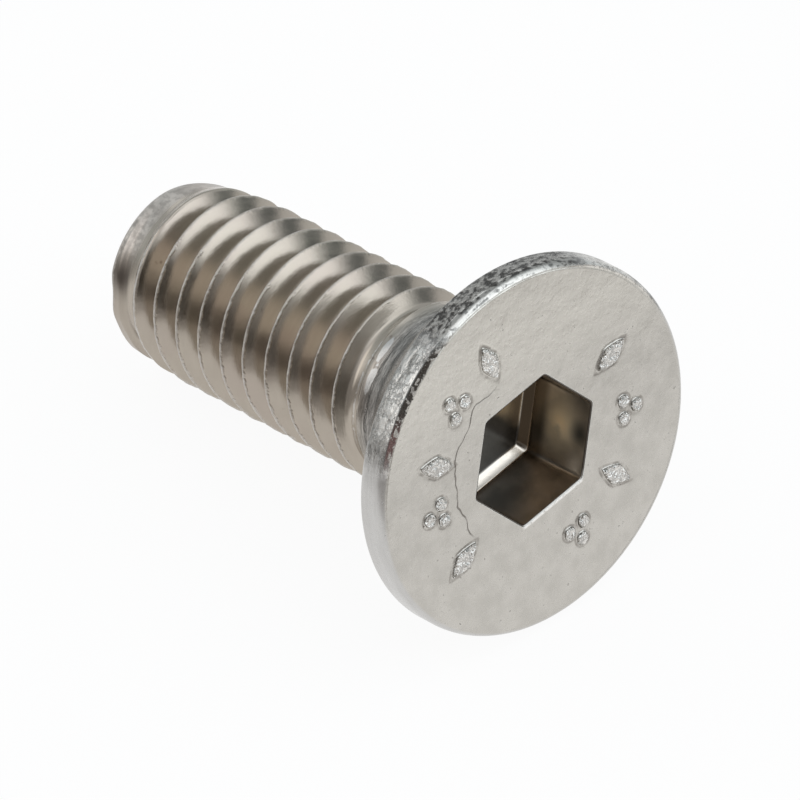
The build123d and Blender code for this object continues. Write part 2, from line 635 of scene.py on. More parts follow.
        helix_rows = self.points(long_lap, start + self.pitch * (share[1:] + long_lap))
        helix = skin.add(helix_rows)
        wedge_rows = self.points(lap[:, 1:-1], start + self.pitch * share[1:] * lap[:, 1:-1])
        inner = skin.add(wedge_rows)
        tip = np.full((self.rows, 1), neck_ring[0])
        wedge = np.concatenate([tip, inner, helix[:, :1]], axis=1)
        ring_row = np.append(neck_ring, neck_ring[0])[None, :]
        wedge = np.concatenate([ring_row, wedge])
        first_row = np.concatenate([wedge[-1, :-1], helix[-1, :-COLUMNS]])[None, :]
        helix = np.concatenate([first_row, helix])
        skin.sheet(wedge, Region.SHANK)
        skin.sheet(helix, Region.SHANK)

        end_lap = lap[:, 1:-1]
        end_heights = start + self.pitch * (self.turns + end_lap + share[1:] * (1 - end_lap))
        inner = skin.add(self.points(end_lap, end_heights))
        tip = np.full((self.rows, 1), helix[-1, -1])
        wedge = np.concatenate([helix[1:, -1:], inner, tip], axis=1)
        wedge = np.concatenate([helix[-1:, -COLUMNS - 1 :], wedge])
        skin.sheet(wedge, Region.SHANK)
        return wedge[-1, :-1]

    def points(self, lap: Array, height: Array) -> Array:
        """Give points of the skin, this many turns from column 0 and at these places along the axis."""
        angle = FIRST_COLUMN + 2 * pi * lap
        return turned(self.radius(angle, height), angle, height)

    def level_rings(self, start: float, stop: float, rows: int) -> Array:
        """Give points of evenly spaced level rings, with one at the stop and none at the start.

        Args:
            start: Place along the axis that the rings follow.
            stop: Place of the last ring.
            rows: How many rings.

        Returns:
            The points, as an array that ends in x, y, z.
        """
        lap = np.arange(COLUMNS)[None, :] / COLUMNS
        heights = np.linspace(start, stop, rows + 1)[1:, None]
        return self.points(lap, np.broadcast_to(heights, (rows, COLUMNS)))


def rounded_path(corners: list[Triple], steps: int = 4) -> Array:
    """Draw a path of straight stretches whose corners are rounded.

    At each corner the path leaves the straight line at the corner's reach and
    comes back to the next line at the same distance, along a parabola: the
    squares of the remaining and the covered share weigh the two ends, and
    twice their product weighs the corner.

    Args:
        corners: Distance from the axis, place along it and reach of each corner.
        steps: Points along each rounding.

    Returns:
        The path's points, as rows of distance and place.
    """
    places = np.array([corner[:2] for corner in corners])
    path = [places[:1]]
    share = np.linspace(0, 1, steps + 1)[:, None]
    for before, here, after, corner in zip(places, places[1:], places[2:], corners[1:]):
        back = here + (before - here) / np.linalg.norm(before - here) * corner[2]
        onward = here + (after - here) / np.linalg.norm(after - here) * corner[2]
        path.append((1 - share) ** 2 * back + 2 * share * (1 - share) * here + share**2 * onward)
    path.append(places[-1:])
    return np.concatenate(path)


def divided(path: Array, longest: float) -> Array:
    """Add points to a path, evenly on each stretch, so that no step is longer than this.

    Args:
        path: The path's points, as rows.
        longest: The longest step.

    Returns:
        The path with its new points.
    """
    pieces = [path[:1]]
    for start, stop in zip(path, path[1:]):
        count = max(1, int(np.ceil(np.linalg.norm(stop - start) / longest)))
        share = np.arange(1, count + 1)[:, None] / count
        pieces.append(start + (stop - start) * share)
    return np.concatenate(pieces)


@dataclass(frozen=True)
class Pip:
    """One plain raised lozenge or dot on the face."""

    x: float            # of its middle
    y: float
    along: float        # angle of its length, in degrees
    half_length: float
    half_width: float
    power: float        # 2 for an ellipse, nearly 1 for a lozenge

    def gap(self, x: Array, y: Array) -> Array:
        """Give about how far points are from the pip's outline; it is below zero inside.

        The powers of the shares of the half length and the half width are
        summed, and the root of that is 1 on the outline.

        Args:
            x: Places across the face.
            y: Places across it the other way.

        Returns:
            The distances.
        """
        turn = radians(self.along)
        along = np.abs((x - self.x) * cos(turn) + (y - self.y) * sin(turn)) / self.half_length
        across = np.abs((y - self.y) * cos(turn) - (x - self.x) * sin(turn)) / self.half_width
        size = (along**self.power + across**self.power) ** (1 / self.power)
        return (size - 1) * self.half_width


@dataclass(frozen=True)
class MarkRing:
    """An arc of plain raised marks, by turns a lozenge and a group of three dots."""

    radius: float
    angles: tuple[float, ...]           # of the marks, in degrees
    lozenge: Triple = (0.58, 0.3, 1.25)     # half length, half width and power
    dot_radius: float = 0.19
    dots: tuple[tuple[float, float], ...] = ((0.3, 0.0), (-0.18, 0.28), (-0.18, -0.28))   # out and aside

    def pips(self) -> list[Pip]:
        """Set out the lozenges and dots.

        Returns:
            The pips of all the marks.
        """
        pips = []
        for number, angle in enumerate(self.angles):
            outward = np.array([cos(radians(angle)), sin(radians(angle))])
            aside = np.array([-outward[1], outward[0]])
            if number % 2 == 0:
                pips.append(Pip(*(self.radius * outward), angle, *self.lozenge))
                continue
            for out, over in self.dots:
                place = (self.radius + out) * outward + over * aside
                pips.append(Pip(*place, angle, self.dot_radius, self.dot_radius, 2))
        return pips


@dataclass
class Head:
    """The countersunk head: socket, face, rim and cone."""

    thread: Thread
    rim_radius: float = 5.685
    face_radius: float = 5.5
    edge_height: float = 0.29
    edge_rows: int = 5
    rim_height: float = 0.89
    rim_rounding: float = 0.07
    rim_step: float = 0.08              # longest step between rings of the rim
    cone_lead: float = 0.3              # from the rim to where the rings get coarser
    shoulder_rows: int = 2              # of the cone, before the rings get coarser again
    cone_foot: float = 3.89
    cone_rounding: float = 0.2
    cone_rows: int = 6                  # along the rounding
    cone_step: float = 0.3
    neck_lead: float = 0.22             # from the cone's foot to where the thread's own rings start
    neck_rows: int = 12

    socket_half_width: float = 2.0
    socket_depth: float = 2.55
    floor_hub: float = 0.3
    floor_rounding: float = 0.06
    bevel_width: float = 0.3
    bevel_slope: float = radians(35)
    bevel_rounding: float = 0.05
    mouth_reach: float = 0.05
    socket_step: float = 0.35
    corner_power: float = 60.0

    face_rows: int = 65
    first_row: float = 0.004            # share of the way from the mouth to the face's edge
    mark_height: float = 0.09
    mark_edge: float = 0.07
    moat_depth: float = 0.012
    moat_reach: Span = (0.16, 0.04)     # from the mark's outline
    marks: tuple[MarkRing, ...] = (
        MarkRing(3.7, (162.8, 137.7, 110.0, 86.2, 54.9)),
        MarkRing(3.55, (243.2, 276.4, 309.4, 341.3)),
    )

    def hexagon(self, angle: Array) -> Array:
        """Give the distance to a hexagon one unit across its half, with rounded corners.

        Each side's share is the cosine of the angle to its middle. The shares
        are raised to a high power and summed, and the root is inverted.

        Args:
            angle: Angles about the axis.

        Returns:
            The hexagon's radius at each angle.
        """
        middles = FIRST_COLUMN + pi / 6 + pi / 3 * np.arange(6)
        shares = np.clip(np.cos(angle[..., None] - middles), 0, None)
        return (shares**self.corner_power).sum(axis=-1) ** (-1 / self.corner_power)

    def socket_section(self) -> Array:
        """Give half widths and places from the floor's middle to the mouth's outer edge.

        Returns:
            The section's points, as rows of distance and place.
        """
        wall_foot = self.socket_depth - self.bevel_width * tan(self.bevel_slope)
        corners = [
            (self.floor_hub, self.socket_depth, 0),
            (self.socket_half_width - self.bevel_width, self.socket_depth, self.floor_rounding),
            (self.socket_half_width, wall_foot, self.bevel_rounding),
            (self.socket_half_width, 0, self.mouth_reach),
            (self.socket_half_width + self.mouth_reach, 0, 0),
        ]
        return divided(rounded_path(corners), self.socket_step)

    def rim_section(self) -> Array:
        """Give radii and places from the face's edge to the start of the cone.

        The edge is a quarter of an ellipse, as wide as the face falls short of
        the rim.

        Returns:
            The section's points, as rows of distance and place.
        """
        turn = np.linspace(0, pi / 2, self.edge_rows + 2)[1:-1]
        out = self.face_radius + (self.rim_radius - self.face_radius) * np.sin(turn)
        edge = np.stack([out, self.edge_height * (1 - np.cos(turn))], axis=1)
        corners = [
            (self.rim_radius, self.edge_height, 0),
            (self.rim_radius, self.rim_height, self.rim_rounding),
            (self.rim_radius - self.cone_lead, self.rim_height + self.cone_lead, 0),
        ]
        return np.concatenate([edge, divided(rounded_path(corners), self.rim_step)])

    def cone_section(self) -> Array:
        """Give radii and places from the cone's start to the thread's first ring.

        Returns:
            The section's points, as rows of distance and place.
        """
        corners = [
            (self.rim_radius - self.cone_lead, self.rim_height + self.cone_lead, 0),
            (self.thread.neck_radius, self.cone_foot, self.cone_rounding),
            (self.thread.neck_radius, self.cone_foot + self.neck_lead, 0),
        ]
        return divided(rounded_path(corners, self.cone_rows), self.cone_step)[1:]

    def build(self, skin: Skin) -> Array:
        """Add the head's skin, from the middle of the socket's floor to the neck.

        The rings get finer twice on the way out, at the socket and at the
        face, and coarser twice on the cone.

        Args:
            skin: The skin to add to.

        Returns:
            Numbers of the last ring, where the thread starts.
        """
        mouth = self.build_socket(skin)
        rim = self.build_face(skin, mouth)
        return self.build_cone(skin, rim)

    def build_socket(self, skin: Skin) -> Array:
        """Add the socket.

        Args:
            skin: The skin to add to.

        Returns:
            Numbers of the ring at its mouth.
        """
        angle = column_angles(2 * COLUMNS)[None, :]
        section = self.socket_section()
        socket = skin.add(turned(section[:, :1] * self.hexagon(angle), angle, section[:, 1:]))
        skin.close(self.socket_depth, socket[0], Region.SOCKET, at_start=True)
        skin.rings(socket, Region.SOCKET)
        return socket[-1]

    def build_face(self, skin: Skin, mouth: Array) -> Array:
        """Add the face and the rim.

        The face's rows divide the way from the hexagon of the mouth to the
        circle of the face's edge evenly, after a first row close to the mouth.

        Args:
            skin: The skin to add to.
            mouth: Numbers of the socket's last ring.

        Returns:
            Numbers of the rim's last ring.
        """
        angle = column_angles(4 * COLUMNS)[None, :]
        inner = (self.socket_half_width + self.mouth_reach) * self.hexagon(angle)
        share = np.append(self.first_row, np.linspace(0, 1, self.face_rows + 1)[1:])[:, None]
        radius = inner + (self.face_radius - inner) * share
        face = skin.add(turned(radius, angle, self.face_height(radius, angle)))
        skin.graft(mouth, face[0], Region.HEAD)
        skin.rings(face, Region.HEAD)
        section = self.rim_section()
        rim = skin.add(turned(section[:, :1], angle, section[:, 1:]))
        skin.rings(np.concatenate([face[-1:], rim]), Region.HEAD)
        return rim[-1]

    def build_cone(self, skin: Skin, rim: Array) -> Array:
        """Add the cone and the neck.

        Args:
            skin: The skin to add to.
            rim: Numbers of the rim's last ring.

        Returns:
            Numbers of the neck's last ring.
        """
        section = self.cone_section()
        angle = column_angles(2 * COLUMNS)[None, :]
        upper = section[: self.shoulder_rows]
        shoulder = skin.add(turned(upper[:, :1], angle, upper[:, 1:]))
        skin.graft(shoulder[0], rim, Region.HEAD, coarse_last=True)
        skin.rings(shoulder, Region.HEAD)
        angle = column_angles(COLUMNS)[None, :]
        lower = section[self.shoulder_rows :]
        cone = skin.add(turned(lower[:, :1], angle, lower[:, 1:]))
        skin.graft(cone[0], shoulder[-1], Region.SHANK, coarse_last=True)
        stop = self.thread.start_height()
        rise = skin.add(self.thread.level_rings(self.cone_foot + self.neck_lead, stop, self.neck_rows))
        neck = np.concatenate([cone, rise])
        skin.rings(neck, Region.SHANK)
        return neck[-1]

    def face_height(self, radius: Array, angle: Array) -> Array:
        """Give the face's place along the axis, with its raised marks and the moats round them.

        Args:
            radius: Distances from the axis.
            angle: Angles about it.

        Returns:
            The place along the axis at each point, which is below zero on the marks.
        """
        x = radius * np.cos(angle)
        y = radius * np.sin(angle)
        raised = np.zeros_like(x)
        moat = np.zeros_like(x)
        for pip in (pip for ring in self.marks for pip in ring.pips()):
            gap = pip.gap(x, y)
            raised = np.maximum(raised, smooth_step(self.mark_edge / 2, -self.mark_edge / 2, gap))
            moat = np.maximum(moat, smooth_step(*self.moat_reach, gap))
        return self.moat_depth * moat * (1 - raised) - self.mark_height * raised


@dataclass
class End:
    """The rounded end of the shank."""

    thread: Thread
    side_rows: int = 12
    rounding_rows: int = 8
    flat_shares: Triple = (0.75, 0.5, 0.25)     # of the flat's radius, at its rings

    def build(self, skin: Skin, ring: Array) -> None:
        """Add rows from the thread's last ring to the middle of the end.

        The rounding is a quarter circle: its radius shrinks with the cosine and
        its place grows with the sine.

        Args:
            skin: The skin to add to.
            ring: Numbers of the thread's last ring.
        """
        thread = self.thread
        angle = column_angles(COLUMNS)[None, :]
        first = thread.start_height() + thread.pitch * (thread.turns + 1)
        rounding_start = thread.length - thread.end_rounding
        side = skin.add(thread.level_rings(first, rounding_start, self.side_rows))
        edge = thread.radius(angle, np.full_like(angle, rounding_start))
        turn = np.linspace(0, pi / 2, self.rounding_rows + 1)[1:, None]
        radius = edge - thread.end_rounding * (1 - np.cos(turn))
        rounding = skin.add(turned(radius, angle, rounding_start + thread.end_rounding * np.sin(turn)))
        flat_radius = radius[-1:] * np.array(self.flat_shares)[:, None]
        flat = skin.add(turned(flat_radius, angle, np.full_like(flat_radius, thread.length)))
        skin.rings(np.concatenate([ring[None, :], side, rounding, flat]), Region.SHANK)
        skin.close(thread.length, flat[-1], Region.SHANK)


class Finish(Recipe):
    """A finish of the screw's bare steel, with each point's place in the own frame, in millimetres."""

    name: str           # of the material
    turned_colours: Pair = (0.28, 0.272, 0.26), (0.4, 0.39, 0.37)

    def __init__(self, place: OwnFrame) -> None:
        """Start the material.

        Args:
            place: The screw's own frame.
        """
        self.material = bpy.data.materials.new(self.name)
        self.material.use_nodes = True
        super().__init__(self.material.node_tree)
        turn = Matrix(place.axes.tolist())
        inputs = {
            "Vector": self.node("ShaderNodeTexCoord").outputs["Object"],
            "Location": turn @ Vector(place.origin) / -METRE,
            "Rotation": turn.to_euler(),
            "Scale": (1 / METRE, 1 / METRE, 1 / METRE),
        }
        self.own = self.node("ShaderNodeMapping", {}, inputs).outputs[0]
        self.x, self.y, self.z = self.split(self.own)
        self.radius = (self.x * self.x + self.y * self.y).root()

    def pattern(self, factors: Triple, scale: float, detail: float = 2, rough: float = 0.5) -> Wire:
        """Give a soft random number over the own frame stretched by these factors."""
        return self.noise(self.stretch(self.own, factors), scale, detail, rough)

    def scratches(self) -> Wire:
        """Give the scratches that run round the cone and the neck."""
        return self.pattern((1, 1, 8), 2.4, 4, 0.65)

    def outward(self, angle: float) -> Wire:
        """Measure how far points lie from the axis in the direction at this angle, in degrees."""
        return self.x * cos(radians(angle)) + self.y * sin(radians(angle))

    def finish(self, colour: Socket, roughness: Wire, normal: Socket) -> bpy.types.Material:
        """Add the shader and the output.

        Args:
            colour: The steel's colour.
            roughness: Its roughness.
            normal: Its bumped normal.

        Returns:
            The material.
        """
        inputs = {"Base Color": colour, "Roughness": roughness, "Metallic": 1.0, "Normal": normal}
        shader = self.node("ShaderNodeBsdfPrincipled", {}, inputs)
        self.node("ShaderNodeOutputMaterial", {}, {"Surface": shader.outputs[0]})
        return self.material


class SocketFinish(Finish):
    """Smooth brown steel with painted light and shade: a painted tan highlight and a painted pale reflection
    on one wall, painted shade low in the socket and in two dark patches, and a floor, foot and mouth painted
    bright on one side and dark on the other.
    """

    name: str = "punched socket"
    wall_colours: Pair = (0.4, 0.345, 0.28), (0.54, 0.465, 0.38)
    # Painted light and shade on the walls: a tan highlight, a pale reflection, shade low in the socket and
    # dark patches of shade.
    painted_tan_highlight: Triple = (1.0, 0.86, 0.62)
    painted_pale_reflection: Triple = (0.7, 0.63, 0.54)
    painted_deep_shade: Triple = (0.13, 0.095, 0.06)
    painted_wall_shade: Triple = (0.12, 0.115, 0.1)
    # Painted light and shade, dark on one side and bright on the other, for the floor's foot, the floor and
    # the mouth.
    painted_foot_light: Pair = (0.1, 0.075, 0.05), (0.6, 0.55, 0.485)
    painted_floor_reflection: Pair = (0.75, 0.69, 0.6), (0.13, 0.14, 0.15)
    painted_mouth_light: Pair = (0.13, 0.115, 0.1), (0.5, 0.48, 0.45)

    def wall_colour(self, smudge: Wire, tan_highlight_patch: Wire) -> Socket:
        """Mix the walls' colour: smudged, with a painted tan highlight and a painted pale reflection on one
        wall, and painted shade low down and in two dark patches.

        Args:
            smudge: The noise of the smudges.
            tan_highlight_patch: How tan the wall is.

        Returns:
            The walls' colour.
        """
        # Painted shade low in the socket, and in two dark patches.
        deep = self.z.step(1.6, 2.0) * self.outward(289).step(1.7, 1.9)
        far_wall_shade = self.near(self.own, (2.1, 0.6, 1.6), 1.2) * 0.5
        return self.coats(
            self.blend(smudge.step(0.35, 0.65), *self.wall_colours),
            (tan_highlight_patch, self.painted_tan_highlight),
            (self.near(self.own, (1.5, -1.65, 0.4), 0.55), self.painted_pale_reflection),
            (deep * 0.8, self.painted_deep_shade),
            (self.near(self.own, (0.6, -2.0, 0.3), 0.6).larger(far_wall_shade), self.painted_wall_shade),
        )

    def build(self) -> bpy.types.Material:
        """Build the material.

        Returns:
            The finished material.
        """
        x, y, z = self.x, self.y, self.z
        streaks = self.pattern((6, 6, 0.7), 1.2, 3)
        smudge = self.noise(self.own, 1.1, 3)
        # Where the painted tan highlight lies on one wall.
        tan_highlight_patch = self.near(self.own, (0.55, -1.93, 1.2), 1.35) * (smudge * 2).smaller(1)
        side = self.outward(49)
        # The mouth is painted dark, and pale on one side as a painted highlight.
        mouth = self.blend(x.step(1.4, 1.8) * y.step(0.85, 0.7), *self.painted_mouth_light)
        colour = self.coats(
            self.wall_colour(smudge, tan_highlight_patch),
            # The foot and the floor are painted dark on one side and bright on the other: painted highlight
            # and painted reflection.
            (z.step(2.33, 2.37), self.blend(side.step(-0.12, 0), *self.painted_foot_light)),
            (z.step(2.52, 2.55), self.blend((side + smudge * 0.7).step(-0.4, 0.05), *self.painted_floor_reflection)),
            (z.step(0.06, 0.04), mouth),
        )
        roughness = streaks.step(0.3, 0.7) * 0.06 + 0.12 + z.step(2.36, 2.3) * (tan_highlight_patch * 0.55 + 0.18)
        return self.finish(colour, roughness, self.relief((streaks, 1e-6)))


class HeadFinish(Finish):
    """Dull mottled steel, with a crack and crinkled marks in the face and a rim that is worn on one side.

    The crack winds round part of the socket. The rim is smooth on one side
    and turns flaky, then pitted: its edge is first a broken dark band, stained
    reddish and darkened as a painted reflection with painted glints, then white
    from polish and a painted highlight. The face is painted paler on one side and
    darker in its moats, and its marks and one edge of the mouth are painted bright.
    """

    name: str = "pressed head"
    face_colours: Pair = (0.505, 0.485, 0.447), (0.57, 0.547, 0.507)
    # Paler colour laid over one side of the face: painted light.
    face_painted_light: Triple = (0.7, 0.675, 0.62)
    # Dark colour of the specks and the crack, and painted shade in the moats round the marks.
    dirt_and_shade_colour: Triple = (0.12, 0.1, 0.085)
    # Pale colour of the marks, so that their crinkles glint: painted glints.
    mark_glint_colour: Triple = (0.78, 0.76, 0.725)
    # Painted highlight along one edge of the socket's mouth.
    lip_highlight_colour: Triple = (0.92, 0.9, 0.87)
    smooth_colours: Pair = (0.52, 0.51, 0.495), (0.57, 0.56, 0.545)
    dull_colours: Pair = (0.17, 0.165, 0.155), (0.42, 0.41, 0.39)
    flaky_colours: Pair = (0.3, 0.29, 0.27), (0.7, 0.68, 0.645)
    vein_colour: Triple = (0.14, 0.135, 0.125)
    # Painted shade on the rim's flakes towards the cone.
    shaded_colour: Triple = (0.26, 0.255, 0.24)
    pitted_colours: Pair = (0.06, 0.056, 0.052), (0.38, 0.365, 0.34)
    # White of the edge's polish, partly a painted highlight.
    polished_highlight_colours: Pair = (0.24, 0.235, 0.225), (0.75, 0.73, 0.69)
    # Reddish stained colour with painted dark reflection, for the broken band at the rim's edge.
    stain_and_shade_colours: Pair = (0.085, 0.075, 0.065), (0.2, 0.13, 0.12)
    # Painted glints in that band.
    painted_glint_colour: Triple = (0.55, 0.52, 0.48)

    def __init__(self, place: OwnFrame) -> None:
        """Work out where the marks, the crack and the parts of the rim are, and the patterns on them.

        Args:
            place: The screw's own frame.
        """
        super().__init__(place)
        x, y, own = self.x, self.y, self.own
        self.mark = self.z.step(-0.012, -0.03)
        self.rim = self.radius.step(5.50, 5.60)
        self.worn = x.step(-4.7, -5.2)
        self.flaky = x.step(-1.7, -2.7) * (1 - self.worn)
        self.grain = self.noise(own, 8, 3, 0.6)
        self.blotch = self.noise(own, 1.4, 3, 0.55)
        self.chips = self.noise(own, 3.1, 3, 0.6)
        self.speck = self.noise(own, 7.5, 2, 0.5).step(0.67, 0.72) * self.blotch.step(0.5, 0.6)
        winding = (self.noise(own, 0.9, 2, 0.5) - 0.5) * 0.7 + 2.93
        crack = abs(self.radius - winding).step(0.028, 0.01) * y.step(0.9, 1.3) * x.step(1.7, 1.3)
        self.crack = crack * self.noise(own, 1.8, 1).step(0.3, 0.44)
        self.flow = self.vector((y * -1).angle_from(x * -1) * 5.6, self.radius, self.z)
        self.pits = self.along_rim((1, 1, 1.5), 4.2, 4, 0.66)
        self.fibres = self.along_rim((0.9, 3, 6), 1, 4, 0.62)
        self.flake = self.along_rim((1.6, 2.5, 3.5), 1, 4, 0.6)
        self.veins = abs(self.along_rim((1.3, 1, 2.2), 1.1, 4, 0.7) - 0.5).step(0.03, 0.01)

    def along_rim(self, factors: Triple, scale: float, detail: float, rough: float) -> Wire:
        """Give a soft random number over the way round, the radius and the place along the axis."""
        return self.noise(self.stretch(self.flow, factors), scale, detail, rough)

    def face_colour(self) -> Socket:
        """Mix the face's colour: mottled, dirty in specks and the crack, painted paler on one side and darker
        in the moats, with marks and lip painted bright.

        Returns:
            The face's colour.
        """
        # The moats round the marks are darkened as painted shade; the specks and the crack are the face's own
        # dark marks.
        moat = self.z.step(0.002, 0.007) * self.z.step(0.03, 0.02) * self.radius.step(5.3, 5.2)
        dirt_and_moat_shade = self.speck * 0.45 + self.crack * 0.75 + moat * self.chips.step(0.35, 0.6) * 0.5
        # A bright band along one edge of the mouth: painted highlight.
        lip = abs(self.outward(349) - 2.06).step(0.065, 0.045) * abs(self.outward(79)).step(1.25, 1.1)
        return self.coats(
            self.blend(self.blotch.step(0.3, 0.7), *self.face_colours),
            # One side of the face is painted paler: painted light.
            (self.x.step(-0.5, -4.2) * 0.9, self.face_painted_light),
            (dirt_and_moat_shade.smaller(0.85), self.dirt_and_shade_colour),
            # The marks are painted pale so that they glint: painted glints.
            (self.mark * 0.7, self.mark_glint_colour),
            (lip * self.grain.step(0.3, 0.55) * 0.85, self.lip_highlight_colour),
        )

    def rim_colour(self) -> Socket:
        """Mix the rim's colour: smooth, then dull and flaky, with painted shade on the flakes towards the
        cone, then pitted, with an edge that is white from polish and a painted highlight.

        Returns:
            The rim's colour.
        """
        flakes = self.coats(
            self.blend(self.flake.step(0.33, 0.53), *self.flaky_colours),
            (self.veins * 0.45, self.vein_colour),
            # Painted shade towards the cone.
            (self.z.step(0.5, 0.9) * 0.7, self.shaded_colour),
        )
        dull = self.blend(self.pits.step(0.35, 0.6), *self.dull_colours)
        pitted = self.blend(self.pits.step(0.42, 0.58), *self.pitted_colours)
        # The edge's polish, painted whiter as a highlight.
        polished_highlight = self.blend(self.pits.step(0.36, 0.52), *self.polished_highlight_colours)
        ragged = (self.z + self.pits * 0.3).step(0.33, 0.25) * self.y.step(-2.2, -1.3)
        return self.coats(
            self.blend(self.fibres.step(0.3, 0.7), *self.smooth_colours),
            (self.flaky, self.blend(self.x.step(-2.5, -3.1), dull, flakes)),
            (self.worn, self.blend(ragged, pitted, polished_highlight)),
        )

    def build(self) -> bpy.types.Material:
        """Build the material.

        Returns:
            The finished material.
        """
        x, y, z = self.x, self.y, self.z
        # A broken dark band at the rim's edge: reddish stained, darkened as a painted reflection, with
        # painted glints in its pits.
        dark_edge_strip = (self.radius + self.chips * 0.4 + self.pits * 0.25).step(5.82, 5.86)
        dark_edge_strip = dark_edge_strip * z.step(0.14, 0.1) * self.flaky * y.step(0, 0.5)
        stain_and_shade = self.blend(x.step(-3.6, -2.8), *self.stain_and_shade_colours)
        colour = self.coats(
            self.face_colour(),
            (self.rim, self.rim_colour()),
            (z.step(0.9, 1.0), self.blend(self.scratches(), *self.turned_colours)),
            (dark_edge_strip, self.blend(self.pits.step(0.54, 0.6), stain_and_shade, self.painted_glint_colour)),
        )
        roughness = 0.26 + self.grain.step(0.3, 0.7) * 0.06 - self.mark * 0.1
        face = z.step(0.03, 0.015) * self.radius.step(5.52, 5.46)
        below_edge = 1 - z.step(0.33, 0.25)
        normal = self.relief(
            (self.grain * (1 - self.mark) * (1 - self.rim), 6e-6),
            (self.blotch * face, 2.4e-5),
            (self.noise(self.own, 4.2, 2, 0.55) * self.mark, 4.5e-4),
            (self.pits * self.worn * below_edge * self.rim, 1.8e-4),
            (self.fibres * self.rim, 1e-5),
            ((self.flake - self.veins * 0.3) * self.rim * self.flaky, 1.1e-4),
            (self.pits * dark_edge_strip, 2.5e-4),
            ((self.speck + self.crack * 2) * -1, 1e-5),
        )
        return self.finish(colour, roughness, normal)


